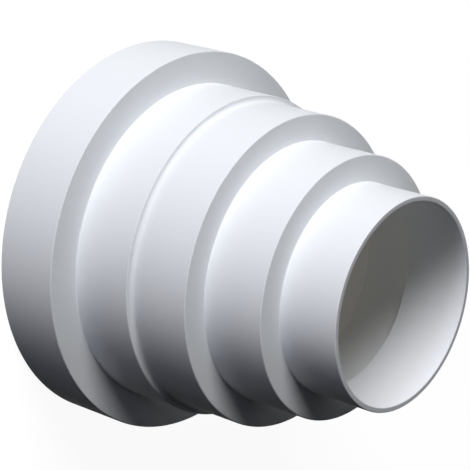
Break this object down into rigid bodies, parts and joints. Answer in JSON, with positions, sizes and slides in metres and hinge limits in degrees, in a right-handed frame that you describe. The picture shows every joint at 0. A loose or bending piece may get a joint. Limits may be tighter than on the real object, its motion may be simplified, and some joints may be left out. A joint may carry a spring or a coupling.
{
  "type": "duct reducer",
  "caption": "Stepped round duct reducer: a thin white plastic shell whose straight spigots narrow in flat-shouldered steps from a wide end to a narrow end, open right through.",
  "frame": {"origin": "centre of the wide end's rim, on the surface it stands on", "axes": "+Z along the duct axis, from the wide end up to the narrow end"},
  "size_m": [0.1494, 0.1494, 0.13],
  "materials": {
    "white_plastic": "smooth satin moulded plastic"
  },
  "bodies": {
    "root": {"reducer_body": "white_plastic"}
  },
  "joints": []
}
